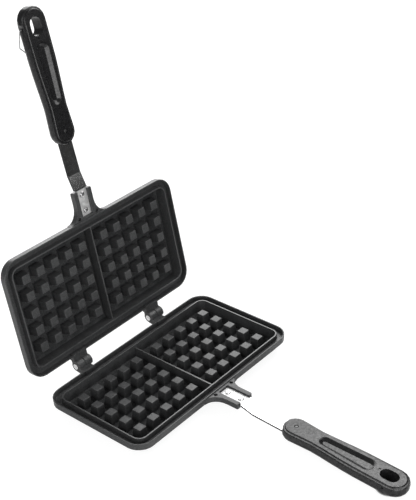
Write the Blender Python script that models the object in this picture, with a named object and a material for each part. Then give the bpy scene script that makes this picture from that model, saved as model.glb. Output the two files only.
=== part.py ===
"""Stovetop waffle iron: two cast plates on a hinge line, each with a riveted steel arm and a moulded grip.

Both halves are alike but for the width of a hinge tab, so each mesh is drawn as it sits in the lower half,
and the upper half holds it turned over. Lengths are metres. The origin is the centre of the
lower plate's flat underside, X runs along the hinge, Y towards it and Z up.
"""

import math

import bmesh
import bpy
from mathutils import Matrix

# Clearances and overruns
GAP = 0.0003  # between two pieces that touch
OVERRUN = 0.0010  # how far a cut runs past the faces that it opens
ROOT = 0.0010  # how far a boss or rib runs into the wall that carries it
NEST = 0.0002  # how far the faces of a smaller shape stay inside those of the one that it is cast with

# Opening of the iron, as it stands
OPEN_DEG = 100.16

# Studs that mould the waffle's pockets, and the thin wall between the two waffles
COLUMNS = 5
ROWS = 5
STUD_PITCH = 0.0200
STUD_TOP = 0.0096
STUD_DRAFT = 0.0012
STUD_HEIGHT = 0.0123
STUD_TO_PARTING = 0.0032
STUD_TO_DIVIDER = 0.01065
STUD_TO_WALL = 0.0123
DIVIDER_TOP = 0.0016
DIVIDER_DRAFT = 0.0004
DIVIDER_DROP = 0.0003

# Plate: a tub with an inner lip, a drip groove and an outer lip
FLOOR = 0.0025
CAVITY_DRAFT = 0.0015
LIP_WIDTH = 0.0014
LIP_SETBACK = 0.00015  # each half's lip stays this far from the parting plane
GROOVE_WIDTH = 0.0074
GROOVE_DRAFT = 0.0007
GROOVE_DEPTH = 0.0056
OUTER_LIP_DROP = 0.0001
HINGE_SIDE_EXTRA = 0.0016  # by which the rim is wider on the hinge's side
CORNER_RADIUS = 0.0185
RIM_HEIGHT = 0.0074
RIM_DRAFT = 0.0004
FLOOR_ROUND = 0.0025
TUB_INSET_X = 0.0114  # from the rim's side to the edge of the flat underside
TUB_INSET_Y = 0.0090
TUB_CORNER_LOSS = 0.0045
TUB_SHARES = ((1.0, 0.0), (0.75, 0.24), (0.54, 0.47), (0.35, 0.72), (0.26, 1.0))  # of inset, of height

# Fork that carries the arm
SLOT_DEPTH = 0.0292
SLOT_START = 0.0028
PRONG_WIDTH = 0.0050
PRONG_DROP = 0.0015
PRONG_HEIGHT = 0.0064
PRONG_CORNER = 0.0014
FLARE_X = 0.0140
FLARE_Y = 0.0170
WEB_SETBACK = 0.0015
WEB_RAISE = 0.0003
DIMPLE_RADIUS = 0.0021
DIMPLE_DEPTH = 0.0025
DIMPLE_X = 0.0128
DIMPLE_Y = 0.0032

# Arm: a steel strip that lies in the fork, steps away from the parting plane and runs on into the grip
ARM_THICK = 0.0018
ARM_DROP = 0.0038
ARM_NARROW = 0.0137
ARM_WIDE = 0.0174
ARM_SHOULDER = 0.0012
ARM_STEP_LENGTH = 0.0160
ARM_BEND_RADIUS = 0.0050
ARM_TANG = 0.0378
STATION_GAP = 0.0001  # two sections of the strip stand at least this far apart
RIVET_SHARES = (0.21, 0.82)  # along the slot, from its floor to the prongs' tips

# Rivets of the arm
RIVET_SHANK = 0.0020
RIVET_HEAD = 0.0031
RIVET_CROWN = 0.0011
DOME_SHARES = ((0.45, 1.0), (0.85, 0.65), (1.0, 0.0))  # of the head's radius, of the crown

# Hinge
HINGE_X = 0.0575
HINGE_REACH = 0.0135  # from the plate's back wall to the pin's axis
HINGE_HALF = 0.0097
HINGE_SPLIT = 0.0006
KNUCKLE_RADIUS = 0.00625
KNUCKLE_CLEARANCE = 0.00035
TAB_SETBACK = 0.0006
TAB_HEIGHT = 0.0072
LOWER_TAB_END = 0.0047  # the lower half's short tab ends here, so that a slit shows beside it
HEEL_LENGTH = 0.0055
UPPER_HEEL_END = 0.0047
PIN_RADIUS = 0.0021
PIN_HEAD = 0.0040
PIN_HEAD_THICK = 0.0007
PIN_HEAD_EDGE = 0.0002
PIN_DISH = 0.0027
PIN_DISH_FLOOR = 0.0021
PIN_DISH_DEPTH = 0.0004
PIN_TAIL = 0.0030
PIN_TAIL_END = 0.0024
PIN_TAIL_THICK = 0.0009

# Grip
GRIP_START = 0.0514  # from the prongs' tips to the grip's rear end, along Y
GRIP_DROP = 0.0040
GRIP_SPREAD_DEG = 2.7
GRIP_THICK = 0.0140
GRIP_REAR_HALF = 0.0110
GRIP_WAIST_HALF = 0.0095
GRIP_FRONT_HALF = 0.0125
WAIST_TO_RECESS = 0.0011  # from the narrowest place to the recess's rear end
SWELL_TO_HOLE = 0.0122  # from the widest place to the hole's rear end
SWELL_POWER = 0.7  # below 1, the grip swells early past its waist
GRIP_SKIRT = 0.0033
# Levels of the grip's side: outwards as a share of the skirt, down as a share of the thickness
SKIRT_SHARES = ((-1.9, 1.0), (-1.05, 0.975), (-0.15, 0.9), (0.55, 0.77), (0.9, 0.61), (1.0, 0.44))
LEDGE_SHARES = ((0.87, 0.3), (0.62, 0.235), (0.14, 0.19))
ARM_DEPTH = 0.0067  # the strip's middle below the grip's inner face

# Along the grip, each from the one before: rear end, recess, hanging hole, front end
RECESS_START = 0.0429
RECESS_LENGTH = 0.0664
RECESS_REAR_HALF = 0.0071
RECESS_FRONT_HALF = 0.0089
RECESS_SLOPE = 0.0052  # width of the scooped side
RECESS_DEPTH = 0.0021
# Levels of the scooped side: inwards as a share of its width, down as a share of the depth
RECESS_SHARES = ((1.0, 1.0), (0.84, 0.9), (0.62, 0.57), (0.38, 0.22), (0.16, 0.04), (0.0, 0.0))
RECESS_TO_HOLE = 0.0057
HOLE_LENGTH = 0.0201
HOLE_HALF = 0.0069
HOLE_TO_END = 0.0112
PIP_X = 0.0014  # a small round mark beside the hole
PIP_BEFORE_HOLE = 0.0021
PIP_RADIUS = 0.0012
PIP_DEPTH = 0.0006

SCREW_AT = 0.0148
SCREW_SHANK = 0.0013
SCREW_HEAD = 0.0020
SCREW_CROWN = 0.0014
SCREW_HEAD_THICK = 0.0010
SCREW_SINK = 0.0002
SCREW_LENGTH = 0.0105

# Latch bail and its seats in the grips
WIRE_RADIUS = 0.0007
PIVOT_PAST_HOLE = 0.0110  # from the hole's rear end
PIVOT_DEPTH = 0.0044
PIVOT_BURY = 0.0046
BAIL_SIDE_CLEARANCE = 0.0012
BAIL_SHIFT = 0.0009  # sideways, within that clearance
BAIL_LEG = 0.0192
BAIL_CHAMFER_DEG = 46.0
BAIL_BAR_HALF = 0.0070
BAIL_BEND = 0.0020
BAIL_REST_GAP = 0.0012
NOTCH_RADIUS = 0.0050
NOTCH_DEPTH = 0.0014
NOTCH_OFFSET = 0.0014
NOTCH_TOP = 0.0031  # below the grip's inner face

# Facets
CORNER_STEPS = 6
ROUND_STEPS = 16
KNUCKLE_STEPS = 16
END_STEPS = 9
SIDE_STEPS = 9
BEND_STEPS = 3
WIRE_STEPS = 1
SHARP_DEG = 35.0

# Places worked out from the sizes above, in the lower half
PARTING = FLOOR + STUD_HEIGHT + STUD_TO_PARTING
STUD_HALF = STUD_TOP / 2
FIRST_COLUMN = DIVIDER_TOP / 2 + STUD_TO_DIVIDER + STUD_HALF
CAVITY_X = FIRST_COLUMN + (COLUMNS - 1) * STUD_PITCH + STUD_HALF + STUD_TO_WALL
CAVITY_Y = (ROWS - 1) / 2 * STUD_PITCH + STUD_HALF + STUD_TO_WALL
RIM = 2 * LIP_WIDTH + GROOVE_WIDTH
PLATE_X = CAVITY_X + RIM
PLATE_Y = CAVITY_Y + RIM
LIP_TOP = PARTING - LIP_SETBACK
HINGE_Y = PLATE_Y + HINGE_REACH

SLOT_HALF = ARM_NARROW / 2 + GAP
PRONG_X = SLOT_HALF + PRONG_WIDTH
SLOT_FLOOR = -PLATE_Y - SLOT_START
TIP_Y = SLOT_FLOOR - SLOT_DEPTH
PRONG_TOP = PARTING - PRONG_DROP
ARM_TOP = PARTING - ARM_DROP
WEB_TOP = ARM_TOP - ARM_THICK - GAP
WEB_LOW = PRONG_TOP - PRONG_HEIGHT + WEB_RAISE

SPREAD = math.radians(GRIP_SPREAD_DEG)
GRIP_Y = TIP_Y - GRIP_START
HOLE_START = RECESS_START + RECESS_LENGTH + RECESS_TO_HOLE
GRIP_LENGTH = HOLE_START + HOLE_LENGTH + HOLE_TO_END
WAIST_AT = RECESS_START - WAIST_TO_RECESS
SWELL_AT = HOLE_START - SWELL_TO_HOLE
PIP_AT = HOLE_START - PIP_BEFORE_HOLE
PIVOT_AT = HOLE_START + PIVOT_PAST_HOLE
BODY_FRONT_HALF = GRIP_FRONT_HALF + GRIP_SKIRT
GRIP_FRAME = Matrix.Translation((0, GRIP_Y, PARTING - GRIP_DROP)) @ Matrix.Rotation(SPREAD, 4, "X")

BAIL_HALF = BODY_FRONT_HALF + BAIL_SIDE_CLEARANCE + WIRE_RADIUS
BAIL_REACH = BAIL_LEG + (BAIL_HALF - BAIL_BAR_HALF) / math.tan(math.radians(BAIL_CHAMFER_DEG))
BAIL_REST_DEPTH = GRIP_THICK + WIRE_RADIUS + BAIL_REST_GAP - PIVOT_DEPTH
BAIL_LEAN = math.asin(BAIL_REST_DEPTH / BAIL_REACH)


def ring(points, height):
    return [(x, y, height) for x, y in points]


def circle(radius, height, steps=ROUND_STEPS, centre=(0, 0)):
    turns = [2 * math.pi * i / steps for i in range(steps)]
    return [(centre[0] + radius * math.cos(a), centre[1] + radius * math.sin(a), height) for a in turns]


def arc(centre, radius, start_deg, end_deg, steps):
    """Points from start to end, both ends included."""
    angles = [math.radians(start_deg + (end_deg - start_deg) * i / steps) for i in range(steps + 1)]
    return [(centre[0] + radius * math.cos(a), centre[1] + radius * math.sin(a)) for a in angles]


def rounded_rectangle(half_x, half_y, radius, height, rear_extra=0):
    """A level outline about the middle, with rear_extra added on the +Y side."""
    points = []
    for side_x, side_y, start in ((1, 1, 0), (-1, 1, 90), (-1, -1, 180), (1, -1, 270)):
        rear = rear_extra if side_y > 0 else 0
        centre = (side_x * (half_x - radius), side_y * (half_y - radius) + rear)
        points += arc(centre, radius, start, start + 90, CORNER_STEPS)
    return ring(points, height)


def rectangle(low, high, height):
    return ring([(low[0], low[1]), (high[0], low[1]), (high[0], high[1]), (low[0], high[1])], height)


def stadium(start, length, rear_half, front_half, height):
    """A slot with round ends that runs forward, along -Y, from start."""
    rear = arc((0, -start - rear_half), rear_half, 0, 180, END_STEPS)
    front = arc((0, -start - length + front_half), front_half, 180, 360, END_STEPS)
    return ring(rear + front, height)


def solid(name, *stacks):
    """A mesh with one closed body for each stack of rings. Rings turn left as seen from the stack's end."""
    bm = bmesh.new()
    for rings in stacks:
        loops = [[bm.verts.new(point) for point in points] for points in rings]
        bm.faces.new(reversed(loops[0]))
        bm.faces.new(loops[-1])
        for low, high in zip(loops, loops[1:]):
            for i in range(len(low)):
                j = (i + 1) % len(low)
                bm.faces.new((low[i], low[j], high[j], high[i]))
    mesh = bpy.data.meshes.new(name)
    bm.to_mesh(mesh)
    bm.free()
    return mesh


def across(mesh, centre=(0, 0, 0)):
    """Turns a mesh drawn along Z to lie along X, at centre."""
    mesh.transform(Matrix.Translation(centre) @ Matrix.Rotation(math.radians(90), 4, "Y"))
    return mesh


def combined(base, tool, operation):
    """The mesh that a Boolean of the two leaves."""
    pair = [bpy.data.objects.new(mesh.name, mesh) for mesh in (base, tool)]
    for obj in pair:
        bpy.context.scene.collection.objects.link(obj)
    modifier = pair[0].modifiers.new("combine", "BOOLEAN")
    modifier.operation = operation
    modifier.object = pair[1]
    graph = bpy.context.evaluated_depsgraph_get()
    result = bpy.data.meshes.new_from_object(pair[0].evaluated_get(graph))
    for obj in pair:
        bpy.data.objects.remove(obj)
    return result


def plate_body():
    """The tub and its rim, as rounded rectangles that go up the outside, over the lips and down inside."""
    outer_lip = LIP_TOP - OUTER_LIP_DROP
    ledge = outer_lip - RIM_HEIGHT
    groove = LIP_TOP - GROOVE_DEPTH
    groove_end = LIP_WIDTH + GROOVE_WIDTH
    path = (
        (RIM_DRAFT, ledge),
        (0, outer_lip),
        (LIP_WIDTH, outer_lip),
        (LIP_WIDTH + GROOVE_DRAFT, groove),
        (groove_end - GROOVE_DRAFT, groove),
        (groove_end, LIP_TOP),
        (RIM, LIP_TOP),
        (RIM + CAVITY_DRAFT, FLOOR + FLOOR_ROUND),
        (RIM + CAVITY_DRAFT + FLOOR_ROUND, FLOOR),
    )
    rings = []
    for share, height_share in TUB_SHARES:
        half_x = PLATE_X - share * TUB_INSET_X
        half_y = PLATE_Y - share * TUB_INSET_Y
        corner = CORNER_RADIUS - share * TUB_CORNER_LOSS
        rings.append(rounded_rectangle(half_x, half_y, corner, height_share * ledge, HINGE_SIDE_EXTRA))
    for inset, z in path:
        extra = HINGE_SIDE_EXTRA if inset < groove_end - GROOVE_DRAFT else 0
        rings.append(rounded_rectangle(PLATE_X - inset, PLATE_Y - inset, CORNER_RADIUS - inset, z, extra))
    return solid("plate", rings)


def studs_and_divider():
    stud_top = FLOOR + STUD_HEIGHT
    stacks = []
    for side in (-1, 1):
        for column in range(COLUMNS):
            for row in range(ROWS):
                x = side * (FIRST_COLUMN + column * STUD_PITCH)
                y = (row - (ROWS - 1) / 2) * STUD_PITCH
                base = STUD_HALF + STUD_DRAFT
                low = rectangle((x - base, y - base), (x + base, y + base), FLOOR - ROOT)
                top = rectangle((x - STUD_HALF, y - STUD_HALF), (x + STUD_HALF, y + STUD_HALF), stud_top)
                stacks.append([low, top])
    half = DIVIDER_TOP / 2
    end = CAVITY_Y + LIP_WIDTH / 2
    low = rectangle((-half - DIVIDER_DRAFT, -end), (half + DIVIDER_DRAFT, end), FLOOR - ROOT)
    top = rectangle((-half, -end), (half, end), stud_top - DIVIDER_DROP)
    stacks.append([low, top])
    return solid("studs", *stacks)


def fork():
    """Two prongs that flare into the front wall, without the web between them."""
    root = -PLATE_Y + ROOT
    side = [(PRONG_X + FLARE_X, root), (PRONG_X + FLARE_X, -PLATE_Y)]
    for i in range(1, CORNER_STEPS + 1):
        turn = math.radians(90) * i / CORNER_STEPS
        x = PRONG_X + FLARE_X * (1 - math.sin(turn))
        side.append((x, -PLATE_Y - FLARE_Y * (1 - math.cos(turn))))
    corner = (PRONG_X - PRONG_CORNER, TIP_Y + PRONG_CORNER)
    side += arc(corner, PRONG_CORNER, 0, -90, BEND_STEPS)
    side += [(SLOT_HALF, TIP_Y), (SLOT_HALF, SLOT_FLOOR)]
    outline = [(-x, y) for x, y in side] + list(reversed(side))
    return solid("fork", [ring(outline, PRONG_TOP - PRONG_HEIGHT), ring(outline, PRONG_TOP)])


def web():
    low = (-SLOT_HALF - ROOT, TIP_Y + WEB_SETBACK)
    high = (SLOT_HALF + ROOT, SLOT_FLOOR + ROOT)
    return solid("web", [rectangle(low, high, WEB_LOW), rectangle(low, high, WEB_TOP)])


def rivet_places():
    return [SLOT_FLOOR - share * SLOT_DEPTH for share in RIVET_SHARES]


def fork_holes():
    """Holes for the two rivets, and the blind dimple at the root of each prong."""
    stacks = []
    for y in rivet_places():
        radius = RIVET_SHANK + GAP
        low = circle(radius, WEB_LOW - OVERRUN, centre=(0, y))
        stacks.append([low, circle(radius, PRONG_TOP, centre=(0, y))])
    for x in (-DIMPLE_X, DIMPLE_X):
        centre = (x, -PLATE_Y - DIMPLE_Y)
        low = circle(DIMPLE_RADIUS, PRONG_TOP - DIMPLE_DEPTH, centre=centre)
        stacks.append([low, circle(DIMPLE_RADIUS, PRONG_TOP + OVERRUN, centre=centre)])
    return solid("fork_holes", *stacks)


def tab_low(y):
    """Height of the hinge tab's underside: it rises from the wall to the knuckle's lowest line."""
    share = (HINGE_Y - y) / HINGE_REACH
    return PARTING - KNUCKLE_RADIUS - share * (TAB_SETBACK + TAB_HEIGHT - KNUCKLE_RADIUS)


def side_profile(points, low_x, high_x):
    """An outline in Y and Z that turns left as seen from +X, as two rings along X."""
    return [[(x, y, z) for y, z in points] for x in (low_x, high_x)]


def knuckle_outline():
    """The long tab and its knuckle, in Y and Z."""
    top_deg = 180 + math.degrees(math.asin(TAB_SETBACK / KNUCKLE_RADIUS))
    root = PLATE_Y - ROOT
    points = [(root, tab_low(root))]
    points += arc((HINGE_Y, PARTING), KNUCKLE_RADIUS, -90, top_deg, KNUCKLE_STEPS)
    points.append((root, PARTING - TAB_SETBACK))
    return points


def heel_outline():
    """The heel behind the knuckle, whose flat meets the other half's short tab when the iron is open."""
    stop = 180 - OPEN_DEG
    along = math.radians(stop - 90)
    away = math.radians(stop)
    height = KNUCKLE_RADIUS + KNUCKLE_CLEARANCE - GAP
    core = KNUCKLE_RADIUS - ROOT
    points = []
    for forward, up in ((0, 0), (core, 0), (HEEL_LENGTH, height), (0, height)):
        y = HINGE_Y + forward * math.cos(along) + up * math.cos(away)
        points.append((y, PARTING + forward * math.sin(along) + up * math.sin(away)))
    return points


def short_tab_outline():
    root = PLATE_Y - ROOT - NEST
    end = HINGE_Y - KNUCKLE_RADIUS - KNUCKLE_CLEARANCE
    top = PARTING - TAB_SETBACK - NEST
    return [(root, tab_low(root) + NEST), (end, tab_low(end) + NEST), (end, top), (root, top)]


def hinge_tabs(outline, low_offset, high_offset):
    stacks = []
    for x in (-HINGE_X, HINGE_X):
        stacks.append(side_profile(outline, x + low_offset, x + high_offset))
    return solid("tabs", *stacks)


def pin_bores():
    length = 2 * (HINGE_HALF + OVERRUN)
    bore = [circle(PIN_RADIUS + GAP, -length / 2), circle(PIN_RADIUS + GAP, length / 2)]
    meshes = [across(solid("bore", bore), (x, HINGE_Y, PARTING)) for x in (-HINGE_X, HINGE_X)]
    return meshes


def plate_mesh(short_tab_end, heel_end):
    mesh = combined(plate_body(), studs_and_divider(), "UNION")
    mesh = combined(mesh, fork(), "UNION")
    mesh = combined(mesh, web(), "UNION")
    mesh = combined(mesh, hinge_tabs(short_tab_outline(), -HINGE_HALF + ROOT, short_tab_end), "UNION")
    mesh = combined(mesh, hinge_tabs(knuckle_outline(), -HINGE_HALF, -HINGE_SPLIT / 2), "UNION")
    mesh = combined(mesh, hinge_tabs(heel_outline(), -heel_end + NEST, -HINGE_SPLIT / 2 - NEST), "UNION")
    mesh = combined(mesh, fork_holes(), "DIFFERENCE")
    for bore in pin_bores():
        mesh = combined(mesh, bore, "DIFFERENCE")
    return mesh


def arm_line():
    """The strip's middle line in Y and Z: flat in the fork, a step down, then straight on into the grip."""
    flat = ARM_TOP - ARM_THICK / 2
    first_bend = TIP_Y - ARM_SHOULDER - GAP
    second_bend = first_bend - ARM_STEP_LENGTH

    def in_grip(forward):
        point = GRIP_FRAME @ Matrix.Translation((0, -forward, -ARM_DEPTH))
        return point.translation.y, point.translation.z

    start, end = in_grip(0), in_grip(ARM_TANG)
    share = (start[0] - second_bend) / (start[0] - end[0])
    step_z = start[1] - share * (start[1] - end[1])
    return [(SLOT_FLOOR - GAP, flat), (first_bend, flat), (second_bend, step_z), end]


def rounded_line(points, radius, steps):
    """The line with each inner corner replaced by an arc."""
    line = [points[0]]
    for before, corner, after in zip(points, points[1:], points[2:]):
        first = math.atan2(corner[1] - before[1], corner[0] - before[0])
        second = math.atan2(after[1] - corner[1], after[0] - corner[0])
        turn = (second - first + math.pi) % (2 * math.pi) - math.pi
        side = math.copysign(1, turn)
        cut = radius * math.tan(abs(turn) / 2)
        start = (corner[0] - cut * math.cos(first), corner[1] - cut * math.sin(first))
        centre = (start[0] - side * radius * math.sin(first), start[1] + side * radius * math.cos(first))
        for i in range(steps + 1):
            angle = first + turn * i / steps
            x = centre[0] + side * radius * math.sin(angle)
            line.append((x, centre[1] - side * radius * math.cos(angle)))
    return line + [points[-1]]


def arm_mesh():
    line = rounded_line(arm_line(), ARM_BEND_RADIUS, BEND_STEPS)
    flat = line[0][1]
    shoulder_end = TIP_Y - GAP - ARM_SHOULDER
    stations = [(line[0], ARM_NARROW), ((TIP_Y - GAP, flat), ARM_NARROW), ((shoulder_end, flat), ARM_WIDE)]
    stations += [(point, ARM_WIDE) for point in line[1:] if point[0] < shoulder_end - STATION_GAP]
    rings = []
    for i, ((y, z), width) in enumerate(stations):
        before = stations[max(i - 1, 0)][0]
        after = stations[min(i + 1, len(stations) - 1)][0]
        heading = math.atan2(after[1] - before[1], after[0] - before[0])
        up_y = math.sin(heading) * ARM_THICK / 2
        up_z = -math.cos(heading) * ARM_THICK / 2
        half = width / 2
        low = [(-half, y - up_y, z - up_z), (half, y - up_y, z - up_z)]
        rings.append(low + [(half, y + up_y, z + up_z), (-half, y + up_y, z + up_z)])
    strip = solid("arm", rings)
    holes = []
    for y in rivet_places():
        radius = RIVET_SHANK + GAP
        low = circle(radius, ARM_TOP - ARM_THICK - OVERRUN, centre=(0, y))
        holes.append([low, circle(radius, ARM_TOP + OVERRUN, centre=(0, y))])
    strip = combined(strip, solid("rivet_holes", *holes), "DIFFERENCE")
    radius = SCREW_SHANK + GAP
    ends = (-ARM_DEPTH - ARM_THICK - OVERRUN, -ARM_DEPTH + ARM_THICK + OVERRUN)
    hole = solid("screw_hole", [circle(radius, z, centre=(0, -SCREW_AT)) for z in ends])
    hole.transform(GRIP_FRAME)
    return combined(strip, hole, "DIFFERENCE")


def rivet_mesh(y):
    """A shank with a low domed head on the arm and another under the web."""
    top = ARM_TOP + GAP
    low = WEB_LOW - GAP
    centre = (0, y)
    rings = [circle(RIVET_HEAD * out, low - RIVET_CROWN * up, centre=centre) for out, up in DOME_SHARES]
    rings += [circle(RIVET_SHANK, z, centre=centre) for z in (low, top)]
    for out, up in reversed(DOME_SHARES):
        rings.append(circle(RIVET_HEAD * out, top + RIVET_CROWN * up, centre=centre))
    return solid("rivet", rings)


def ease(share):
    share = min(max(share, 0), 1)
    return share * share * (3 - 2 * share)


def grip_half(forward):
    """Half width of the grip's inner face: it narrows to a waist and swells again towards the front."""
    rear = GRIP_SKIRT + GRIP_REAR_HALF
    if forward < WAIST_AT:
        share = ease((forward - rear) / (WAIST_AT - rear))
        return GRIP_REAR_HALF + (GRIP_WAIST_HALF - GRIP_REAR_HALF) * share
    share = ease(((forward - WAIST_AT) / (SWELL_AT - WAIST_AT)) ** SWELL_POWER)
    return GRIP_WAIST_HALF + (GRIP_FRONT_HALF - GRIP_WAIST_HALF) * share


def grip_outline(offset, depth):
    """The inner face's outline, grown by offset, at a depth below the face."""
    rear = GRIP_SKIRT + GRIP_REAR_HALF
    front = GRIP_LENGTH - GRIP_SKIRT - GRIP_FRONT_HALF
    stations = [rear + (front - rear) * i / SIDE_STEPS for i in range(1, SIDE_STEPS)]
    points = arc((0, -rear), GRIP_REAR_HALF + offset, 0, 180, END_STEPS)
    points += [(-grip_half(s) - offset, -s) for s in stations]
    points += arc((0, -front), GRIP_FRONT_HALF + offset, 180, 360, END_STEPS)
    points += [(grip_half(s) + offset, -s) for s in reversed(stations)]
    return ring(points, -depth)


def grip_cuts():
    """Every hollow of the grip but the seats of the bail, as one mesh in the grip's own frame."""
    recess = []
    for inwards, down in RECESS_SHARES:
        inset = inwards * RECESS_SLOPE
        halves = (RECESS_REAR_HALF - inset, RECESS_FRONT_HALF - inset)
        recess.append(stadium(RECESS_START + inset, RECESS_LENGTH - 2 * inset, *halves, -down * RECESS_DEPTH))
    recess.append(stadium(RECESS_START, RECESS_LENGTH, RECESS_REAR_HALF, RECESS_FRONT_HALF, OVERRUN))
    ends = (-GRIP_THICK - OVERRUN, OVERRUN)
    hole = [stadium(HOLE_START, HOLE_LENGTH, HOLE_HALF, HOLE_HALF, z) for z in ends]
    half = ARM_WIDE / 2 + GAP
    low, high = (-half, -ARM_TANG - GAP), (half, OVERRUN)
    depths = (-ARM_DEPTH - ARM_THICK / 2 - GAP, -ARM_DEPTH + ARM_THICK / 2 + GAP)
    pocket = [rectangle(low, high, z) for z in depths]
    pip = [circle(PIP_RADIUS, z, centre=(PIP_X, -PIP_AT)) for z in (-PIP_DEPTH, OVERRUN)]
    return solid("grip_cuts", recess, hole, pocket, pip)


def screw_cut():
    centre = (0, -SCREW_AT)
    seat = -SCREW_SINK - SCREW_HEAD_THICK - GAP
    rings = [
        circle(SCREW_SHANK + GAP, -SCREW_LENGTH - GAP, centre=centre),
        circle(SCREW_SHANK + GAP, seat, centre=centre),
        circle(SCREW_HEAD + GAP, seat, centre=centre),
        circle(SCREW_HEAD + GAP, OVERRUN, centre=centre),
    ]
    return solid("screw_cut", rings)


def bail_seats():
    """In each side of the grip, a scooped notch and a blind hole for the bail's end."""
    meshes = []
    for side in (-1, 1):
        notch_x = side * (BODY_FRONT_HALF + NOTCH_RADIUS - NOTCH_DEPTH)
        centre = (notch_x, -PIVOT_AT - NOTCH_OFFSET)
        low = circle(NOTCH_RADIUS, -GRIP_THICK - OVERRUN, centre=centre)
        meshes.append(solid("notch", [low, circle(NOTCH_RADIUS, -NOTCH_TOP, centre=centre)]))
        inner = BODY_FRONT_HALF - PIVOT_BURY - BAIL_SHIFT - GAP
        radius = WIRE_RADIUS + GAP
        ends = sorted((side * inner, side * (BODY_FRONT_HALF + OVERRUN)))
        hole = solid("pivot_hole", [circle(radius, z) for z in ends])
        meshes.append(across(hole, (0, -PIVOT_AT, -PIVOT_DEPTH)))
    return meshes


def grip_mesh():
    levels = SKIRT_SHARES + LEDGE_SHARES
    rings = [grip_outline(out * GRIP_SKIRT, down * GRIP_THICK) for out, down in levels]
    rings.append(grip_outline(0, 0))
    mesh = combined(solid("grip", rings), grip_cuts(), "DIFFERENCE")
    mesh = combined(mesh, screw_cut(), "DIFFERENCE")
    for tool in bail_seats():
        mesh = combined(mesh, tool, "DIFFERENCE")
    mesh.transform(GRIP_FRAME)
    return mesh


def grip_screw_mesh():
    centre = (0, -SCREW_AT)
    seat = -SCREW_SINK - SCREW_HEAD_THICK
    rings = [
        circle(SCREW_SHANK, -SCREW_LENGTH, centre=centre),
        circle(SCREW_SHANK, seat, centre=centre),
        circle(SCREW_HEAD, seat, centre=centre),
        circle(SCREW_HEAD, -SCREW_SINK - SCREW_HEAD_THICK / 2, centre=centre),
        circle(SCREW_CROWN, -SCREW_SINK, centre=centre),
    ]
    mesh = solid("grip_screw", rings)
    mesh.transform(GRIP_FRAME)
    return mesh


def pin_mesh():
    """A pin along X with a dished head at the -X end of the knuckles and a peened one at the other."""
    half = HINGE_HALF + GAP
    rings = [
        circle(PIN_DISH_FLOOR, -half - PIN_HEAD_THICK + PIN_DISH_DEPTH),
        circle(PIN_DISH, -half - PIN_HEAD_THICK),
        circle(PIN_HEAD - PIN_HEAD_EDGE, -half - PIN_HEAD_THICK),
        circle(PIN_HEAD, -half - PIN_HEAD_THICK + PIN_HEAD_EDGE),
        circle(PIN_HEAD, -half),
        circle(PIN_RADIUS, -half),
        circle(PIN_RADIUS, half),
        circle(PIN_TAIL, half),
        circle(PIN_TAIL_END, half + PIN_TAIL_THICK),
    ]
    return across(solid("hinge_pin", rings))


def bail_mesh():
    """The wire about its pivot axis, with its legs along +Y."""
    inner = BODY_FRONT_HALF - PIVOT_BURY
    side = [(inner, 0), (BAIL_HALF, 0), (BAIL_HALF, BAIL_LEG), (BAIL_BAR_HALF, BAIL_REACH)]
    corners = [(-x, y) for x, y in side] + list(reversed(side))
    corners = [(x + BAIL_SHIFT, y) for x, y in corners]
    curve = bpy.data.curves.new("bail", "CURVE")
    curve.dimensions = "3D"
    curve.bevel_depth = WIRE_RADIUS
    curve.bevel_resolution = WIRE_STEPS
    curve.use_fill_caps = True
    line = rounded_line(corners, BAIL_BEND, BEND_STEPS)
    spline = curve.splines.new("POLY")
    spline.points.add(len(line) - 1)
    for point, (x, y) in zip(spline.points, line):
        point.co = (x, y, 0, 1)
    obj = bpy.data.objects.new("bail", curve)
    bpy.context.scene.collection.objects.link(obj)
    graph = bpy.context.evaluated_depsgraph_get()
    mesh = bpy.data.meshes.new_from_object(obj.evaluated_get(graph))
    bpy.data.objects.remove(obj)
    return mesh


def material(name, colour, roughness, metallic):
    made = bpy.data.materials.new(name)
    made.use_nodes = True
    shader = made.node_tree.nodes["Principled BSDF"]
    shader.inputs["Base Color"].default_value = (*colour, 1)
    shader.inputs["Roughness"].default_value = roughness
    shader.inputs["Metallic"].default_value = metallic
    return made


def place(name, mesh, made, parent=None, matrix=None):
    """Adds the piece as an object of its own, parented where a joint carries it."""
    obj = bpy.data.objects.new(name, mesh.copy())
    bpy.context.scene.collection.objects.link(obj)
    obj.data.materials.clear()
    obj.data.materials.append(made)
    obj.data.shade_smooth()
    obj.data.set_sharp_from_angle(angle=math.radians(SHARP_DEG))
    obj.parent = parent
    if matrix:
        obj.matrix_local = matrix
    return obj


def joint(name, parent=None):
    empty = bpy.data.objects.new(name, None)
    empty.empty_display_size = HINGE_REACH
    bpy.context.scene.collection.objects.link(empty)
    empty.parent = parent
    return empty


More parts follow.
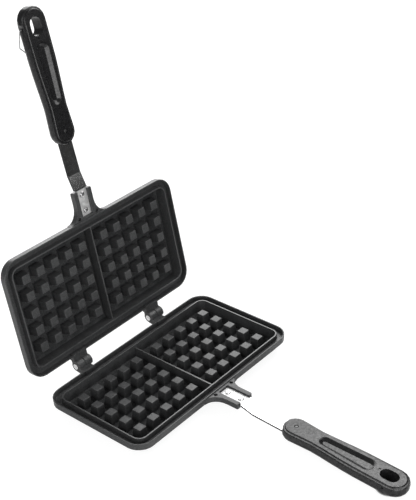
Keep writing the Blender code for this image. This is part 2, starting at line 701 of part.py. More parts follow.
def build():
    for obj in list(bpy.data.objects):
        bpy.data.objects.remove(obj)

    castings = material("plate_coating", (0.035, 0.036, 0.038), 0.42, 0.0)
    steel = material("arm_steel", (0.62, 0.62, 0.62), 0.30, 1.0)
    rivets = material("rivet_steel", (0.70, 0.70, 0.70), 0.28, 1.0)
    grips = material("grip_phenolic", (0.030, 0.030, 0.032), 0.38, 0.0)
    pins = material("pin_steel", (0.80, 0.80, 0.80), 0.18, 1.0)
    wire = material("bail_wire", (0.66, 0.66, 0.66), 0.25, 1.0)

    pieces = {
        "arm": (arm_mesh(), steel),
        "grip": (grip_mesh(), grips),
        "grip_screw": (grip_screw_mesh(), rivets),
    }
    for place_name, y in zip(("rear", "front"), rivet_places()):
        pieces["arm_rivet_" + place_name] = (rivet_mesh(y), rivets)

    to_axis = Matrix.Translation((0, -HINGE_Y, -PARTING))
    turned_over = Matrix.Rotation(math.pi, 4, "Y") @ to_axis
    hinge = joint("main_hinge")
    hinge.location = (0, HINGE_Y, PARTING)
    hinge.rotation_euler = (-math.radians(OPEN_DEG), 0, 0)
    place("lower_plate", plate_mesh(LOWER_TAB_END, HINGE_HALF), castings)
    place("upper_plate", plate_mesh(HINGE_HALF, UPPER_HEEL_END), castings, hinge, turned_over)
    for name, (mesh, made) in pieces.items():
        place("lower_" + name, mesh, made)
        place("upper_" + name, mesh, made, hinge, turned_over)

    pin = pin_mesh()
    for name, x in (("left", -HINGE_X), ("right", HINGE_X)):
        place("hinge_pin_" + name, pin, pins, None, Matrix.Translation((x, HINGE_Y, PARTING)))

    pivot = joint("latch_pivot", hinge)
    seat = GRIP_FRAME @ Matrix.Translation((0, -PIVOT_AT, -PIVOT_DEPTH))
    pivot.matrix_local = turned_over @ seat @ Matrix.Rotation(-BAIL_LEAN, 4, "X")
    place("latch_bail", bail_mesh(), wire, pivot)


build()
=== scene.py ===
import math

import bpy
from mathutils import Euler, Matrix, Vector


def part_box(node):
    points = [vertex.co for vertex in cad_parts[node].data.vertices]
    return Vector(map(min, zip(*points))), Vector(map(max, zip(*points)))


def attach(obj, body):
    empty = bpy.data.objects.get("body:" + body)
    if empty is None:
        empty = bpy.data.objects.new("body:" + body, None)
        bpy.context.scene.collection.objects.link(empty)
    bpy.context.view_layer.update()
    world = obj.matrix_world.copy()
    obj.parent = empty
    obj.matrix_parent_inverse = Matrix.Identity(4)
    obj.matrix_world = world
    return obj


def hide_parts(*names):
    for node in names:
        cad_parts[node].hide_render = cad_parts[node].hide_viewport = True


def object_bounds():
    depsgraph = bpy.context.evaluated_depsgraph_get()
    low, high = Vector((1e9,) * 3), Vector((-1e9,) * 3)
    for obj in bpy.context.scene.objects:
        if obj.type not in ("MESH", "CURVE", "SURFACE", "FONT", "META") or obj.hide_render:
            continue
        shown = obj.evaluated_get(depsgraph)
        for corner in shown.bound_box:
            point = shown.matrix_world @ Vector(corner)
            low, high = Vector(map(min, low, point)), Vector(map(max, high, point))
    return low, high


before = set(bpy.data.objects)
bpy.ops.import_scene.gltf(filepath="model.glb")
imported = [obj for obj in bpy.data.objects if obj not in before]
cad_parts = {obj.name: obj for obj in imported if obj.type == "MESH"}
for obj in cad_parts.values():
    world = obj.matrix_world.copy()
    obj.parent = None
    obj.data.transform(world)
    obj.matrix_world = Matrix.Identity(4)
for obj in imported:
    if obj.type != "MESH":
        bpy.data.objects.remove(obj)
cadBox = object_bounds()
bpy.ops.object.select_all(action="DESELECT")

mm = 0.001

# The iron's own measures, in the lower half's frame. The upper half is the lower one turned over.
iron = {
    "hingeY": 80.8 * mm,
    "hingeZ": 18.0 * mm,
    "openDeg": 100.16,
    "studTop": 14.8 * mm,
    "dividerHalf": 2 * mm,
    "grooveHalf": (116 * mm, 60 * mm),
    "gripStart": (0, -150.7 * mm, 14.0 * mm),
    "gripSpreadDeg": 2.7,
}

hingeAxis = Vector((0, iron["hingeY"], iron["hingeZ"]))
openTurn = Matrix.Rotation(-math.radians(iron["openDeg"]), 4, "X")
turnedOver = Matrix.Rotation(math.pi, 4, "Y") @ Matrix.Translation(-hingeAxis)
upperFrame = Matrix.Translation(hingeAxis) @ openTurn @ turnedOver
spread = Matrix.Rotation(math.radians(iron["gripSpreadDeg"]), 4, "X")
gripFrame = Matrix.Translation(iron["gripStart"]) @ spread
halves = {"lower": Matrix.Identity(4), "upper": upperFrame}


# Mesh work

meshWork = {
    "merge": 0.01 * mm,
    "sliver": 0.005 * mm,
    "flatDeg": 0.6,
    "sharpDeg": 25,
    "flatFaceWeight": 100,
}


def pick(piece):
    bpy.ops.object.select_all(action="DESELECT")
    piece.select_set(True)
    bpy.context.view_layer.objects.active = piece


def copyOf(node, name):
    piece = bpy.data.objects.new(name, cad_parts[node].data.copy())
    bpy.context.scene.collection.objects.link(piece)
    piece.data.materials.clear()
    pick(piece)
    if piece.data.has_custom_normals:
        bpy.ops.mesh.customdata_custom_splitnormals_clear()
    bpy.ops.object.mode_set(mode="EDIT")
    bpy.ops.mesh.select_all(action="SELECT")
    bpy.ops.mesh.remove_doubles(threshold=meshWork["merge"])
    bpy.ops.mesh.mark_sharp(clear=True)
    bpy.ops.mesh.dissolve_limited(angle_limit=math.radians(meshWork["flatDeg"]))
    bpy.ops.mesh.select_all(action="DESELECT")
    bpy.ops.object.mode_set(mode="OBJECT")
    return piece


# Rounds the sharp edges whose two ends, in the half's own frame, pass the test
def softenEdges(piece, toLocal, test, width, segments=2, clamp=True):
    pick(piece)
    bpy.ops.object.mode_set(mode="EDIT")
    bpy.ops.mesh.select_mode(type="EDGE")
    bpy.ops.mesh.select_all(action="DESELECT")
    bpy.ops.mesh.edges_select_sharp(sharpness=math.radians(meshWork["sharpDeg"]))
    bpy.ops.object.mode_set(mode="OBJECT")
    data = piece.data
    places = [toLocal @ v.co for v in data.vertices]
    sharp = [edge for edge in data.edges if edge.select]
    chosen = [edge.index for edge in sharp if test(*(places[i] for i in edge.vertices))]
    for parts in (data.vertices, data.edges, data.polygons):
        parts.foreach_set("select", [False] * len(parts))
    for i in chosen:
        data.edges[i].select = True
    bpy.ops.object.mode_set(mode="EDIT")
    if chosen:
        bpy.ops.mesh.bevel(offset=width, segments=segments, clamp_overlap=clamp, affect="EDGES")
    bpy.ops.mesh.select_all(action="SELECT")
    bpy.ops.mesh.remove_doubles(threshold=meshWork["merge"])
    bpy.ops.mesh.dissolve_degenerate(threshold=meshWork["sliver"])
    bpy.ops.mesh.select_all(action="DESELECT")
    bpy.ops.object.mode_set(mode="OBJECT")
    return len(chosen)


# Smooth across the small faces of a rounded edge, flat across the large ones
def smooth(piece, angleDeg):
    pick(piece)
    bpy.ops.object.shade_smooth_by_angle(angle=math.radians(angleDeg))
    bpy.ops.object.modifier_add(type="WEIGHTED_NORMAL")
    weighted = piece.modifiers[-1]
    weighted.keep_sharp = True
    weighted.weight = meshWork["flatFaceWeight"]
    bpy.ops.object.modifier_apply(modifier=weighted.name)


def finish(piece, body, slot, material, *nodes):
    piece.data.materials.clear()
    piece.data.materials.append(material)
    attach(piece, body)
    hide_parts(*nodes)


# Materials

class Finish:
    # A Principled material, with short ways to add the nodes used here
    def __init__(self, name, colour, roughness, metallic=0.0):
        self.material = bpy.data.materials.new(name)
        self.material.use_nodes = True
        self.tree = self.material.node_tree
        self.shader = self.tree.nodes["Principled BSDF"]
        self.shader.inputs["Base Color"].default_value = (*colour, 1)
        self.shader.inputs["Roughness"].default_value = roughness
        self.shader.inputs["Metallic"].default_value = metallic
        self.coords = self.tree.nodes.new("ShaderNodeTexCoord").outputs["Object"]

    def link(self, source, socket):
        self.tree.links.new(source, self.shader.inputs[socket])

    def turned(self, scale, rotation):
        mapping = self.tree.nodes.new("ShaderNodeMapping")
        mapping.inputs["Scale"].default_value = scale
        mapping.inputs["Rotation"].default_value = rotation
        self.tree.links.new(self.coords, mapping.inputs["Vector"])
        return mapping.outputs["Vector"]

    # A place's coordinate along one axis, 0 to 2, of a half's own frame
    def coordinate(self, half, axis):
        row = halves[half].inverted()[axis]
        node = self.tree.nodes.new("ShaderNodeVectorMath")
        node.operation = "DOT_PRODUCT"
        node.inputs[1].default_value = row[:3]
        self.tree.links.new(self.coords, node.inputs[0])
        return node.outputs["Value"], row[3]

    # From low to high as the coordinate goes from start to end
    def across(self, half, axis, start, end, low, high):
        source, offset = self.coordinate(half, axis)
        node = self.tree.nodes.new("ShaderNodeMapRange")
        settings = (start - offset, end - offset, low, high)
        for socket, value in zip(("From Min", "From Max", "To Min", "To Max"), settings):
            node.inputs[socket].default_value = value
        self.tree.links.new(source, node.inputs["Value"])
        return node.outputs["Result"]

    # 0 within a width either side of the half's middle plane across the axis, and 1 outside it
    def outside(self, half, axis, width, soft):
        source, offset = self.coordinate(half, axis)
        both = self.tree.nodes.new("ShaderNodeMath")
        both.operation = "ABSOLUTE"
        centred = self.tree.nodes.new("ShaderNodeMath")
        centred.inputs[1].default_value = offset
        self.tree.links.new(source, centred.inputs[0])
        self.tree.links.new(centred.outputs[0], both.inputs[0])
        node = self.tree.nodes.new("ShaderNodeMapRange")
        node.inputs["From Min"].default_value = width
        node.inputs["From Max"].default_value = width + soft
        self.tree.links.new(both.outputs[0], node.inputs["Value"])
        return node.outputs["Result"]

    # From one source to a fixed number or colour, or to another source, by the factor
    def blend(self, factor, source, value, other=None):
        node = self.tree.nodes.new("ShaderNodeMix")
        coloured = isinstance(value, tuple)
        node.data_type = "RGBA" if coloured else "FLOAT"
        named = {s.name: s for s in node.inputs if s.enabled}
        named["B"].default_value = (*value, 1) if coloured else value
        self.tree.links.new(factor, named["Factor"])
        self.tree.links.new(source, named["A"])
        if other:
            self.tree.links.new(other, named["B"])
        return next(s for s in node.outputs if s.enabled)

    def noise(self, size, detail=3.0, vector=None):
        node = self.tree.nodes.new("ShaderNodeTexNoise")
        node.inputs["Scale"].default_value = 1 / size
        node.inputs["Detail"].default_value = detail
        self.tree.links.new(vector or self.coords, node.inputs["Vector"])
        return node.outputs["Fac"]

    # Greys or colours from low to high as source goes from start to end
    def ramp(self, source, low, high, start=0.35, end=0.65):
        node = self.tree.nodes.new("ShaderNodeValToRGB")
        for element, place, value in zip(node.color_ramp.elements, (start, end), (low, high)):
            element.position = place
            element.color = (*value, 1) if isinstance(value, tuple) else (value, value, value, 1)
        self.tree.links.new(source, node.inputs["Fac"])
        return node.outputs["Color"]

    def bump(self, source, height, strength, below=None):
        node = self.tree.nodes.new("ShaderNodeBump")
        node.inputs["Distance"].default_value = height
        node.inputs["Strength"].default_value = strength
        self.tree.links.new(source, node.inputs["Height"])
        if below:
            self.tree.links.new(below, node.inputs["Normal"])
        self.link(node.outputs["Normal"], "Normal")
        return node.outputs["Normal"]


coatingLook = {
    "colour": (0.034, 0.0345, 0.0355),
    "darkGrain": (0.022, 0.0225, 0.023),
    "paleGrain": (0.052, 0.053, 0.054),
    "roughness": 0.40,
    "roughnessRange": (0.35, 0.45),
    "grain": 1.3 * mm,
    "fineGrain": 0.45 * mm,
    "cloud": 28 * mm,
    "floorLevel": 4.5 * mm,
    "wallLevel": 7.5 * mm,
    # gloss on the floor of the cavity, lowered as painted shade
    "paintedShadeGloss": 0.08,
    "gloss": 0.5,
    "ridgeStart": 14.3 * mm,
    "ridgeEnd": 14.6 * mm,
    "lipStart": 17.2 * mm,
    "lipEnd": 17.5 * mm,
    # gloss on the divider top and inner lip: wear, raised further as painted highlight
    "wearAndSheenGloss": 0.9,
    "softEdge": 0.5 * mm,
    "tintRange": (0.34, 0.68),
    # height and strength of the two grains
    "grainBump": (0.10 * mm, 0.35),
    "fineBump": (0.05 * mm, 0.30),
}


# Painted shade: matte low in the cavity, where the studs shade the floor. Glossier where use rubs the
# wall between the waffles and the inner lip, a sheen that is partly wear and partly painted highlight
def coatingSheen(look, half):
    gloss, wearAndSheen, soft = (coatingLook[key] for key in ("gloss", "wearAndSheenGloss", "softEdge"))
    floor = (coatingLook[key] for key in ("floorLevel", "wallLevel", "paintedShadeGloss", "gloss"))
    sheen = look.across(half, 2, *floor)
    ridge = look.across(half, 2, coatingLook["ridgeStart"], coatingLook["ridgeEnd"], 0, 1)
    raised = look.blend(ridge, sheen, wearAndSheen)
    offDivider = look.outside(half, 0, iron["dividerHalf"], soft)
    sheen = look.blend(offDivider, raised, gloss, sheen)
    lip = look.across(half, 2, coatingLook["lipStart"], coatingLook["lipEnd"], 0, 1)
    sheen = look.blend(lip, sheen, wearAndSheen)
    for axis, width in enumerate(iron["grooveHalf"]):
        sheen = look.blend(look.outside(half, axis, width, soft), sheen, gloss)
    return sheen


# Charcoal non-stick coating on a sand-rough casting
def makeCoating(half):
    look = Finish(half + "Coating", coatingLook["colour"], coatingLook["roughness"])
    look.link(coatingSheen(look, half), "Specular IOR Level")
    grain = look.noise(coatingLook["grain"], 4)
    greys = (coatingLook["darkGrain"], coatingLook["paleGrain"])
    look.link(look.ramp(grain, *greys, *coatingLook["tintRange"]), "Base Color")
    cloud = look.noise(coatingLook["cloud"], 2)
    look.link(look.ramp(cloud, *coatingLook["roughnessRange"]), "Roughness")
    rough = look.bump(grain, *coatingLook["grainBump"])
    look.bump(look.noise(coatingLook["fineGrain"], 2), *coatingLook["fineBump"], rough)
    return look.material


phenolicLook = {
    "colour": (0.010, 0.010, 0.0105),
    "darkGrain": (0.006, 0.006, 0.0065),
    "paleGrain": (0.016, 0.016, 0.0165),
    "roughness": 0.24,
    "roughnessRange": (0.20, 0.28),
    "grain": 1.1 * mm,
    "fineGrain": 0.6 * mm,
    "cloud": 7 * mm,
    "mottle": 2.6 * mm,
    "glossRange": (0.30, 0.50),
    "tintRange": (0.36, 0.70),
    "fineBump": (0.05 * mm, 0.30),
}


# Black moulding powder, pressed in a lightly blasted mould
def makePhenolic():
    look = Finish("blackPhenolic", phenolicLook["colour"], phenolicLook["roughness"])
    grain = look.noise(phenolicLook["grain"], 4)
    greys = (phenolicLook["darkGrain"], phenolicLook["paleGrain"])
    look.link(look.ramp(grain, *greys, *phenolicLook["tintRange"]), "Base Color")
    cloud = look.noise(phenolicLook["cloud"])
    look.link(look.ramp(cloud, *phenolicLook["roughnessRange"]), "Roughness")
    mottle = look.noise(phenolicLook["mottle"], 4)
    look.link(look.ramp(mottle, *phenolicLook["glossRange"]), "Specular IOR Level")
    look.bump(look.noise(phenolicLook["fineGrain"]), *phenolicLook["fineBump"])
    return look.material


armLook = {
    "darkGrey": (0.56, 0.56, 0.56),
    "paleGrey": (0.74, 0.74, 0.735),
    "roughness": 0.13,
    "roughnessRange": (0.09, 0.18),
    "streak": 0.35 * mm,
    "stretch": 0.02,
    "cloud": 4 * mm,
    "forkStart": -100.5 * mm,
    "forkEnd": -99.0 * mm,
    "scuffed": 0.6,
    # the strip's sheared edge, from this far off its middle line
    "shearedStart": 8.2 * mm,
    "shearedSoft": 0.1 * mm,
    "sheared": (0.05, 0.05, 0.052),
    "shearedRoughness": 0.55,
    "streakBump": (0.012 * mm, 0.25),
}


# Rolled strip, bright along its length and scuffed between the prongs.
# The tilt turns its streaks to lie along it.
def makeArmSteel(half, tilt):
    look = Finish(half + "ArmSteel", armLook["paleGrey"], armLook["roughness"], 1.0)
    along = look.turned((1, armLook["stretch"], 1), (tilt, 0, 0))
    streak = look.noise(armLook["streak"], 2, along)
    polish = look.ramp(streak, *armLook["roughnessRange"])
    inFork = look.across(half, 1, armLook["forkStart"], armLook["forkEnd"], 0, 1)
    metal = look.ramp(look.noise(armLook["cloud"]), armLook["darkGrey"], armLook["paleGrey"])
    edge = look.outside(half, 0, armLook["shearedStart"], armLook["shearedSoft"])
    scuffed = look.blend(inFork, polish, armLook["scuffed"])
    look.link(look.blend(edge, scuffed, armLook["shearedRoughness"]), "Roughness")
    look.link(look.blend(edge, metal, armLook["sheared"]), "Base Color")
    look.bump(streak, *armLook["streakBump"])
    return look.material


steelLook = {
    # grey and roughness of each kind
    "rivetSteel": (0.62, 0.26),
    "screwSteel": (0.10, 0.42),
    "pinSteel": (0.96, 0.40),
    "wireSteel": (0.66, 0.24),
    "polish": 1.5 * mm,
    "roughnessShares": (0.8, 1.3),
    "darkShare": 0.88,
    "grain": 0.5 * mm,
    "grainBump": (0.01 * mm, 0.25),
}


# Plated steel of pins, rivets, screws and wire, with a faint uneven polish
def makeSteel(name):
    grey, roughness = steelLook[name]
    look = Finish(name, (grey, grey, grey), roughness, 1.0)
    polish = look.noise(steelLook["polish"])
    ends = [roughness * share for share in steelLook["roughnessShares"]]
    look.link(look.ramp(polish, *ends), "Roughness")
    look.link(look.ramp(polish, grey * steelLook["darkShare"], grey), "Base Color")
    look.bump(look.noise(steelLook["grain"], 2), *steelLook["grainBump"])
    return look.material


coating = {half: makeCoating(half) for half in halves}
grip = makePhenolic()
armSteel = {
    "lower": makeArmSteel("lower", 0),
    "upper": makeArmSteel("upper", math.radians(iron["openDeg"])),
}
rivetSteel = makeSteel("rivetSteel")
screwSteel = makeSteel("screwSteel")
pinSteel = makeSteel("pinSteel")
wireSteel = makeSteel("wireSteel")
print("materials made")


# Plates

plateLook = {
    "studEdge": 0.50 * mm,
    "dividerEdge": 0.10 * mm,
    "lipEdge": 0.15 * mm,
    "outerLipEdge": 0.42 * mm,
    "forkEdge": 0.45 * mm,
    "knuckleEdge": 0.45 * mm,
    "knuckleRadii": (5.0 * mm, 7.5 * mm),
    "cavityHalf": (110.5 * mm, 54.3 * mm),
    "lipStart": (112.5 * mm, 56.3 * mm),
    "topSlack": 0.5 * mm,
    "lipTop": 17.5 * mm,
    "frontEnd": -67.5 * mm,
    "rearEnd": 69.1 * mm,
    "forkLow": 9 * mm,
    "forkInner": 5 * mm,
    "planeSlack": 0.01 * mm,
    "smoothDeg": 35,
}


# Whether a place is farther from the middle than the half sizes of a rectangle
def beyond(place, halfSizes):
    return abs(place.x) > halfSizes[0] or abs(place.y) > halfSizes[1]


def onStud(a, b):
    def offDivider(place):
        return abs(place.x) > iron["dividerHalf"] and not beyond(place, plateLook["cavityHalf"])

    raised = max(a.z, b.z) > iron["studTop"] - plateLook["topSlack"]
    return raised and offDivider(a) and offDivider(b)


def onDivider(a, b):
    raised = min(a.z, b.z) > iron["studTop"] - plateLook["topSlack"]
    return raised and max(abs(a.x), abs(b.x)) < iron["dividerHalf"]


def onLip(a, b):
    def betweenCavityAndGroove(place):
        return beyond(place, plateLook["lipStart"]) and not beyond(place, iron["grooveHalf"])

    raised = min(a.z, b.z) > plateLook["lipTop"]
    return raised and betweenCavityAndGroove(a) and betweenCavityAndGroove(b)


def onOuterLip(a, b):
    def outsideGroove(place):
        onPlate = plateLook["frontEnd"] < place.y < plateLook["rearEnd"]
        return onPlate and beyond(place, iron["grooveHalf"])

    raised = min(a.z, b.z) > plateLook["lipTop"]
    return raised and outsideGroove(a) and outsideGroove(b)


def onFork(a, b):
    raised = min(a.z, b.z) > plateLook["forkLow"]
    inFront = max(a.y, b.y) < plateLook["frontEnd"]
    return raised and inFront and min(abs(a.x), abs(b.x)) > plateLook["forkInner"]


# The rounds where a knuckle ends, in planes across the hinge's axis
def onKnuckle(a, b):
    axis = Vector((iron["hingeY"], iron["hingeZ"]))
    near, far = plateLook["knuckleRadii"]
    radii = [(Vector((place.y, place.z)) - axis).length for place in (a, b)]
    return abs(a.x - b.x) < plateLook["planeSlack"] and near < min(radii) and max(radii) < far


def refinePlate(half):
    node = half + "_plate"
    piece = copyOf(node, node + "_casting")
    toLocal = halves[half].inverted()
    counts = [
        softenEdges(piece, toLocal, onStud, plateLook["studEdge"], 3),
        softenEdges(piece, toLocal, onDivider, plateLook["dividerEdge"]),
        softenEdges(piece, toLocal, onLip, plateLook["lipEdge"]),
        softenEdges(piece, toLocal, onOuterLip, plateLook["outerLipEdge"], 3),
        softenEdges(piece, toLocal, onFork, plateLook["forkEdge"]),
        softenEdges(piece, toLocal, onKnuckle, plateLook["knuckleEdge"], 2, False),
    ]
    smooth(piece, plateLook["smoothDeg"])
    finish(piece, half, "plate_coating", coating[half], node)
    print(node, "edges softened", counts, "faces", len(piece.data.polygons))


for half in halves:
    refinePlate(half)


# Grips

gripLook = {
    # levels of the skirt's shelf and rounded edge below the face: in the node, and raised
    "levels": ((-2.66 * mm, -1.1 * mm), (-3.29 * mm, -1.3 * mm), (-4.20 * mm, -2.5 * mm)),
    "levelSlack": 0.06 * mm,
    "insideHalf": 9.0 * mm,
    "recessDeeper": 1.2,
    "recessLow": -2.2 * mm,
    "recessEnds": (-112.0 * mm, -40.0 * mm),
    "faceEdge": 0.85 * mm,
    "holeEdge": 0.5 * mm,
    "holeHalf": 7.3 * mm,
    "holeEnds": (-136.5 * mm, -110.0 * mm),
    "rearEnd": -10.0 * mm,
    "faceSlack": 0.05 * mm,
    "smoothDeg": 38,
}


# Raises the skirt's shelf and its rounded edge to just below the face
def raiseShelf(piece, toWorld):
    toLocal = toWorld.inverted()
    up = toWorld.to_3x3() @ Vector((0, 0, 1))
    pick(piece)
    for level, raised in gripLook["levels"]:
        for v in piece.data.vertices:
            v.select = abs((toLocal @ v.co).z - level) < gripLook["levelSlack"]
        bpy.ops.object.mode_set(mode="EDIT")
        bpy.ops.mesh.select_mode(type="VERT")
        bpy.ops.transform.translate(value=up * (raised - level))
        bpy.ops.mesh.select_all(action="DESELECT")
        bpy.ops.object.mode_set(mode="OBJECT")
    # The raised end of the upper grip stays as high as its node
    for v in piece.data.vertices:
        v.co.z = min(v.co.z, cadBox[1][2])


def deepenRecess(piece, toWorld):
    toLocal = toWorld.inverted()
    front, rear = gripLook["recessEnds"]
    for v in piece.data.vertices:
        place = toLocal @ v.co
        inPlan = abs(place.x) < gripLook["insideHalf"] and front < place.y < rear
        if inPlan and gripLook["recessLow"] < place.z < 0:
            place.z *= gripLook["recessDeeper"]
            v.co = toWorld @ place


def refineGrip(half):
    node = half + "_grip"
    piece = copyOf(node, node + "_moulding")
    toWorld = halves[half] @ gripFrame
    toLocal = toWorld.inverted()
    deepenRecess(piece, toWorld)
    raiseShelf(piece, toWorld)
    holeFront, holeRear = gripLook["holeEnds"]

    def onFace(place):
        return abs(place.z) < gripLook["faceSlack"]

    def inside(place):
        return abs(place.x) < gripLook["holeHalf"] and holeFront < place.y < gripLook["rearEnd"]

    def onFaceEdge(a, b):
        return all(onFace(place) and not inside(place) for place in (a, b))

    def onHole(a, b):
        return all(onFace(place) and inside(place) and place.y < holeRear for place in (a, b))

    counts = [
        softenEdges(piece, toLocal, onFaceEdge, gripLook["faceEdge"], 4),
        softenEdges(piece, toLocal, onHole, gripLook["holeEdge"], 2),
    ]
    smooth(piece, gripLook["smoothDeg"])
    finish(piece, half, "grip_phenolic", grip, node)
    print(node, "edges softened", counts)


for half in halves:
    refineGrip(half)


# Pieces that keep the shape of their node

carried = {
    "lower_arm": armSteel["lower"],
    "upper_arm": armSteel["upper"],
    "lower_arm_rivet_rear": rivetSteel,
    "lower_arm_rivet_front": rivetSteel,
    "upper_arm_rivet_rear": rivetSteel,
    "upper_arm_rivet_front": rivetSteel,
    "lower_grip_screw": screwSteel,
    "upper_grip_screw": screwSteel,
    "latch_bail": wireSteel,
}
for node, material in carried.items():
    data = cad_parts[node].data
    data.materials.clear()
    data.materials.append(material)
print("carried pieces finished", len(carried))


# Hinge pins, with heads a little smaller than their nodes'

pinLook = {
    "shank": 3.1 * mm,
    "headShare": 0.84,
    "headEdge": 0.25 * mm,
    "headReach": 10 * mm,
    "endSlack": 0.05 * mm,
    "smoothDeg": 40,
}


def refinePin(side):
    node = "hinge_pin_" + side
    piece = copyOf(node, node + "_headed")
    left = min(v.co.x for v in piece.data.vertices)

    def fromAxis(place):
        return Vector((0, place.y - iron["hingeY"], place.z - iron["hingeZ"]))

    def beyondShank(place, reach):
        return place.x < left + reach and fromAxis(place).length > pinLook["shank"]

    for v in piece.data.vertices:
        if beyondShank(v.co, pinLook["headReach"]):
            v.co -= fromAxis(v.co) * (1 - pinLook["headShare"])

    def onHead(a, b):
        return all(beyondShank(place, pinLook["endSlack"]) for place in (a, b))

    count = softenEdges(piece, halves["lower"], onHead, pinLook["headEdge"])
    smooth(piece, pinLook["smoothDeg"])
    finish(piece, "lower", "pin_steel", pinSteel, node)
    print(node, "edges softened", count)


for side in ("left", "right"):
    refinePin(side)


# Studio

studio = {
    "worldGrey": 0.22,
    "softboxes": {
        # place, aim, width, height, watts
        "behind": ((1.05, 0.95, 1.05), (0, 0, 0.05), 1.8, 1.8, 40),
        "frontLow": ((-0.45, -1.15, 0.32), (0, 0.1, 0.2), 1.2, 0.6, 10),
        "right": ((0.83, -0.44, 0.92), (0, 0.05, 0.1), 0.9, 0.7, 8),
        "left": ((-1.15, -0.1, 0.75), (0, 0, 0.05), 1.0, 1.0, 6),
        "above": ((0.95, 0.2, 1.35), (0, 0.1, 0.2), 0.5, 0.5, 2.5),
    },
    "cardPlace": (0.317, -0.234, 0.165),
    "cardFacing": (0.69, -0.72, 0),
    "cardSize": (0.8, 0.33),
    "cardGrey": 0.04,
    "floorHalf": 6.0,
    "floorBackY": 59.9 * mm,
    "floorBelow": 0.2 * mm,
    "gripContact": 12 * mm,
    "floorGrey": 0.8,
    "floorWhite": 0.9,
    "floorShade": 0.22,
    # place of the painted shadow on the floor under the lower grip's hanging hole
    "holeInGrip": (0, -125 * mm, -14 * mm),
    "paintedShadowStart": 12 * mm,
    "paintedShadowEnd": 14 * mm,
}


def hangSoftbox(name, place, aim, width, height, watts):
    light = bpy.data.lights.new(name, "AREA")
    light.shape = "RECTANGLE"
    light.size, light.size_y, light.energy = width, height, watts
    lamp = bpy.data.objects.new(name, light)
    lamp.location = place
    lamp.visible_camera = False
    lamp.rotation_euler = (Vector(aim) - Vector(place)).to_track_quat("-Z", "Y").to_euler()
    bpy.context.scene.collection.objects.link(lamp)


for name, (place, aim, width, height, watts) in studio["softboxes"].items():
    hangSoftbox(name, place, aim, width, height, watts)


def greyOf(key):
    return (*[studio[key]] * 3, 1)


world = bpy.data.worlds.new("studio")
world.use_nodes = True
world.node_tree.nodes["Background"].inputs["Color"].default_value = greyOf("worldGrey")
bpy.context.scene.world = world


# White where the camera or glass sees it, but for a painted shadow: a dark spot on the floor under
# the hole of the lower grip
def makeFloorMaterial(holeCentre):
    made = bpy.data.materials.new("paleFloor")
    made.use_nodes = True
    tree = made.node_tree
    tree.nodes.clear()

    def add(kind, **values):
        node = tree.nodes.new(kind)
        for socket, value in values.items():
            node.inputs[socket].default_value = value
        return node

    output = add("ShaderNodeOutputMaterial")
    path = add("ShaderNodeLightPath")
    seen = add("ShaderNodeMath")
    seen.operation = "MAXIMUM"
    tree.links.new(path.outputs["Is Camera Ray"], seen.inputs[0])
    tree.links.new(path.outputs["Is Transmission Ray"], seen.inputs[1])
    plain = add("ShaderNodeBsdfDiffuse", Color=greyOf("floorGrey"))
    shaded = add("ShaderNodeBsdfDiffuse", Color=greyOf("floorShade"))
    white = add("ShaderNodeEmission", Color=greyOf("floorWhite"))
    coords = add("ShaderNodeTexCoord")
    fromHole = add("ShaderNodeVectorMath")
    fromHole.operation = "DISTANCE"
    fromHole.inputs[1].default_value = holeCentre
    tree.links.new(coords.outputs["Object"], fromHole.inputs[0])
    # painted shadow: the white emission fades out near the point under the hole
    paintedShadowFade = add("ShaderNodeMapRange")
    paintedShadowFade.inputs["From Min"].default_value = studio["paintedShadowStart"]
    paintedShadowFade.inputs["From Max"].default_value = studio["paintedShadowEnd"]
    tree.links.new(fromHole.outputs["Value"], paintedShadowFade.inputs["Value"])
    tree.links.new(paintedShadowFade.outputs["Result"], white.inputs["Strength"])
    both = add("ShaderNodeAddShader")
    tree.links.new(shaded.outputs[0], both.inputs[0])
    tree.links.new(white.outputs[0], both.inputs[1])
    mix = add("ShaderNodeMixShader")
    tree.links.new(seen.outputs[0], mix.inputs[0])
    tree.links.new(plain.outputs[0], mix.inputs[1])
    tree.links.new(both.outputs[0], mix.inputs[2])
    tree.links.new(mix.outputs[0], output.inputs["Surface"])
    return made


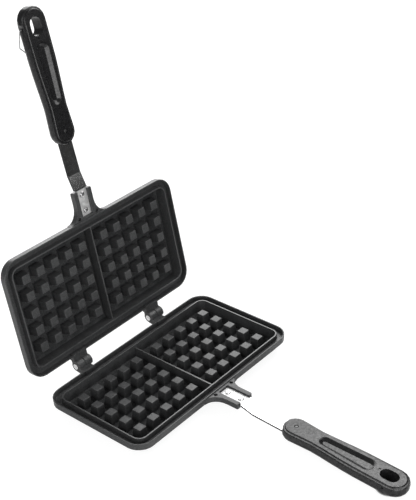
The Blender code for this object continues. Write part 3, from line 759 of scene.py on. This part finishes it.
# A dark card beside the table, which the upper half mirrors. The camera doesn't see it.
def standCard():
    bpy.ops.mesh.primitive_plane_add(size=1, location=(0, 0, 0))
    card = bpy.context.active_object
    card.name = "darkCard"
    facing = Vector(studio["cardFacing"]).to_track_quat("Z", "Y").to_matrix().to_4x4()
    size = Matrix.Diagonal((*studio["cardSize"], 1, 1))
    card.data.transform(Matrix.Translation(studio["cardPlace"]) @ facing @ size)
    made = bpy.data.materials.new("darkCard")
    made.use_nodes = True
    shader = made.node_tree.nodes["Principled BSDF"]
    shader.inputs["Base Color"].default_value = greyOf("cardGrey")
    shader.inputs["Roughness"].default_value = 1
    card.data.materials.append(made)
    card.visible_camera = False


# The iron rests on its back edge and on the lower grip's front end, so the floor falls about a degree
def layFloor():
    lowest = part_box("lower_grip")[0]
    drop = lowest.z / (studio["floorBackY"] - lowest.y - studio["gripContact"])
    bpy.ops.mesh.primitive_plane_add(size=2 * studio["floorHalf"], location=(0, 0, 0))
    floor = bpy.context.active_object
    floor.name = "floor"
    for v in floor.data.vertices:
        v.co.z = drop * (studio["floorBackY"] - v.co.y) - studio["floorBelow"]
    hole = gripFrame @ Vector(studio["holeInGrip"])
    floor.data.materials.append(makeFloorMaterial(hole))
    print("floor falls by", round(drop, 4))


standCard()
layFloor()

cameraLook = {
    "location": (-0.68951, -0.67247, 0.74006),
    "rotationDeg": (58.661, 1.383, -51.77),
    "lens": 95.380,
    "sensorWidth": 36,
    "shift": (-0.10284, 0.005121),
    "clip": (0.01, 50),
}


def placeCamera():
    data = bpy.data.cameras.new("camera")
    data.sensor_fit = "HORIZONTAL"
    data.sensor_width = cameraLook["sensorWidth"]
    data.lens = cameraLook["lens"]
    data.shift_x, data.shift_y = cameraLook["shift"]
    data.clip_start, data.clip_end = cameraLook["clip"]
    camera = bpy.data.objects.new("camera", data)
    camera.location = cameraLook["location"]
    camera.rotation_euler = Euler([math.radians(a) for a in cameraLook["rotationDeg"]])
    bpy.context.scene.collection.objects.link(camera)
    bpy.context.scene.camera = camera


placeCamera()
bpy.context.scene.view_settings.view_transform = "Standard"
print("studio set")
